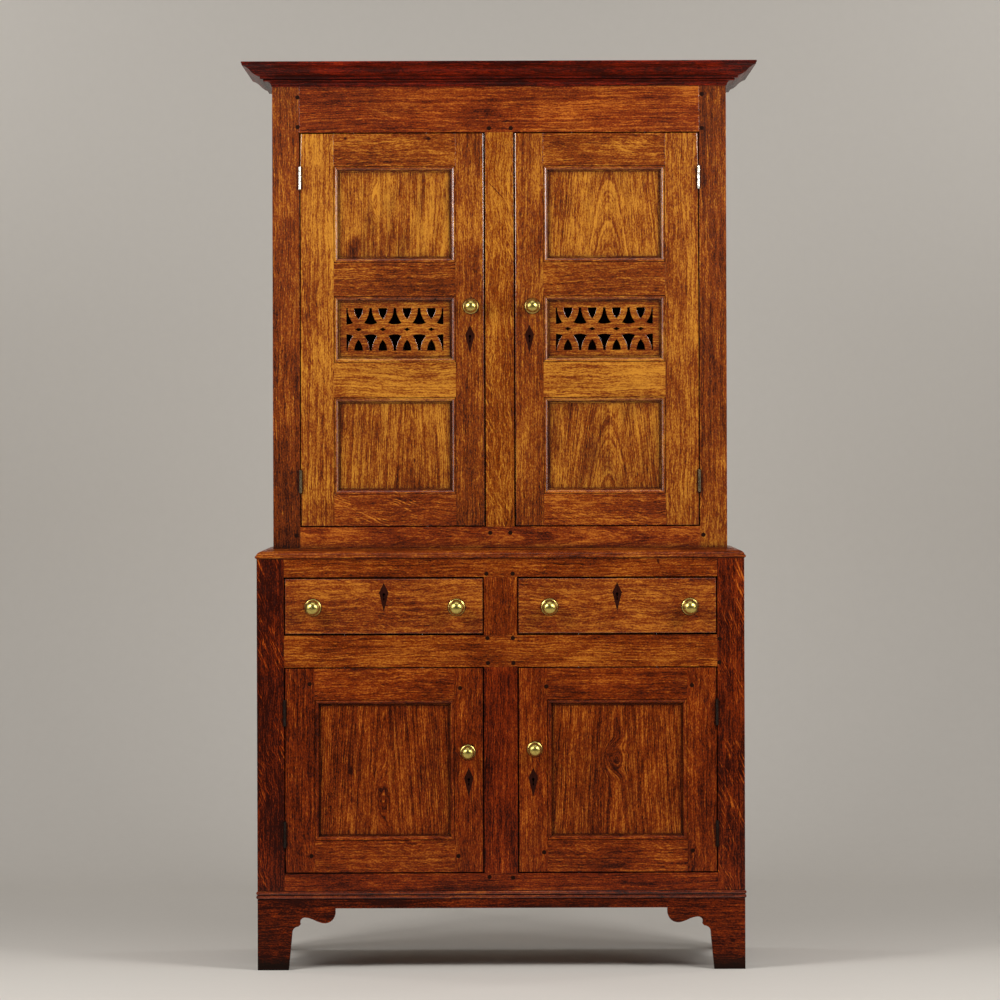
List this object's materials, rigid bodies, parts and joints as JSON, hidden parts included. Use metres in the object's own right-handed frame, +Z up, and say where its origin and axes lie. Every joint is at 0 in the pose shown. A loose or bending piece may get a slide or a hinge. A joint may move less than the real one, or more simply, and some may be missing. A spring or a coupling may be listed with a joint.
{
  "type": "cupboard",
  "caption": "Oak bread and cheese cupboard: panelled doors with pierced ventilation panels above, drawers and panelled doors below, on bracket feet.",
  "frame": {"origin": "on the floor, under the middle of the bounding box", "axes": "+Z up, -Y out of the front with its doors and drawers, +X to the right as the front is looked at"},
  "size_m": [1.177, 0.5696, 2.076],
  "materials": {
    "oak": "waxed oak",
    "oak_dark": "waxed oak, dark with age",
    "oak_gold": "waxed oak, golden",
    "oak_raw": "unpolished oak",
    "brass": "worn polish",
    "iron": "dark forged iron",
    "steel": "worn steel"
  },
  "bodies": {
    "case": {"plinth": "oak_dark", "foot_blocks": "oak_raw", "base_moulding": "oak", "lower_front_stiles": "oak_dark", "lower_front_rails": "oak", "muntins": "oak_gold", "lower_side_frames": "oak_dark", "side_panels": "oak", "lower_boards": "oak_raw", "drawer_runners": "oak_raw", "waist_board": "oak", "upper_front_stiles": "oak_dark", "upper_front_rails": "oak", "upper_side_frames": "oak_dark", "upper_boards": "oak_raw", "back_boards": "oak_raw", "cornice": "oak_dark", "hinge_frame_leaves": "iron"},
    "upper_left_door": {"upper_left_door_stiles": "oak_gold", "upper_left_door_rails": "oak_gold", "upper_left_door_panels": "oak", "upper_left_door_knob": "brass", "upper_left_door_lock": "iron", "upper_left_door_hinges": "steel", "upper_left_pierced_panel": "oak"},
    "upper_left_lock_bolt": {"upper_left_door_bolt": "iron"},
    "upper_right_door": {"upper_right_door_stiles": "oak", "upper_right_door_rails": "oak", "upper_right_door_panels": "oak", "upper_right_door_knob": "brass", "upper_right_door_lock": "iron", "upper_right_door_hinges": "steel", "upper_right_pierced_panel": "oak"},
    "upper_right_lock_bolt": {"upper_right_door_bolt": "iron"},
    "lower_left_door": {"lower_left_door_stiles": "oak_dark", "lower_left_door_rails": "oak_dark", "lower_left_door_panel": "oak", "lower_left_door_knob": "brass", "lower_left_door_lock": "iron", "lower_left_door_hinges": "iron"},
    "lower_left_lock_bolt": {"lower_left_door_bolt": "iron"},
    "lower_right_door": {"lower_right_door_stiles": "oak_dark", "lower_right_door_rails": "oak_dark", "lower_right_door_panel": "oak", "lower_right_door_knob": "brass", "lower_right_door_lock": "iron", "lower_right_door_hinges": "iron"},
    "lower_right_lock_bolt": {"lower_right_door_bolt": "iron"},
    "left_drawer": {"left_drawer_front": "oak_gold", "left_drawer_box": "oak_raw", "left_drawer_bottom": "oak_raw", "left_drawer_knobs": "brass", "left_drawer_lock": "iron"},
    "left_drawer_lock_bolt": {"left_drawer_bolt": "iron"},
    "right_drawer": {"right_drawer_front": "oak_gold", "right_drawer_box": "oak_raw", "right_drawer_bottom": "oak_raw", "right_drawer_knobs": "brass", "right_drawer_lock": "iron"},
    "right_drawer_lock_bolt": {"right_drawer_bolt": "iron"}
  },
  "joints": [
    {"name": "upper_left_door_hinge", "type": "hinge", "parent": "case", "child": "upper_left_door", "pos_m": [-0.4573, -0.1985, 1.4645], "axis": [0, 0, -1], "range_deg": [0, 175]},
    {"name": "upper_left_bolt_slide", "type": "slide", "parent": "upper_left_door", "child": "upper_left_lock_bolt", "axis": [1, 0, 0], "range_m": [0, 0.008]},
    {"name": "upper_right_door_hinge", "type": "hinge", "parent": "case", "child": "upper_right_door", "pos_m": [0.4573, -0.1985, 1.4645], "axis": [0, 0, 1], "range_deg": [0, 175]},
    {"name": "upper_right_bolt_slide", "type": "slide", "parent": "upper_right_door", "child": "upper_right_lock_bolt", "axis": [-1, 0, 0], "range_m": [0, 0.008]},
    {"name": "lower_left_door_hinge", "type": "hinge", "parent": "case", "child": "lower_left_door", "pos_m": [-0.4943, -0.2385, 0.45625], "axis": [0, 0, -1], "range_deg": [0, 175]},
    {"name": "lower_left_bolt_slide", "type": "slide", "parent": "lower_left_door", "child": "lower_left_lock_bolt", "axis": [1, 0, 0], "range_m": [0, 0.008]},
    {"name": "lower_right_door_hinge", "type": "hinge", "parent": "case", "child": "lower_right_door", "pos_m": [0.4943, -0.2385, 0.45625], "axis": [0, 0, 1], "range_deg": [0, 175]},
    {"name": "lower_right_bolt_slide", "type": "slide", "parent": "lower_right_door", "child": "lower_right_lock_bolt", "axis": [-1, 0, 0], "range_m": [0, 0.008]},
    {"name": "left_drawer_slide", "type": "slide", "parent": "case", "child": "left_drawer", "axis": [0, -1, 0], "range_m": [0, 0.35]},
    {"name": "left_drawer_bolt_slide", "type": "slide", "parent": "left_drawer", "child": "left_drawer_lock_bolt", "axis": [0, 0, 1], "range_m": [0, 0.008]},
    {"name": "right_drawer_slide", "type": "slide", "parent": "case", "child": "right_drawer", "axis": [0, -1, 0], "range_m": [0, 0.35]},
    {"name": "right_drawer_bolt_slide", "type": "slide", "parent": "right_drawer", "child": "right_drawer_lock_bolt", "axis": [0, 0, 1], "range_m": [0, 0.008]}
  ]
}
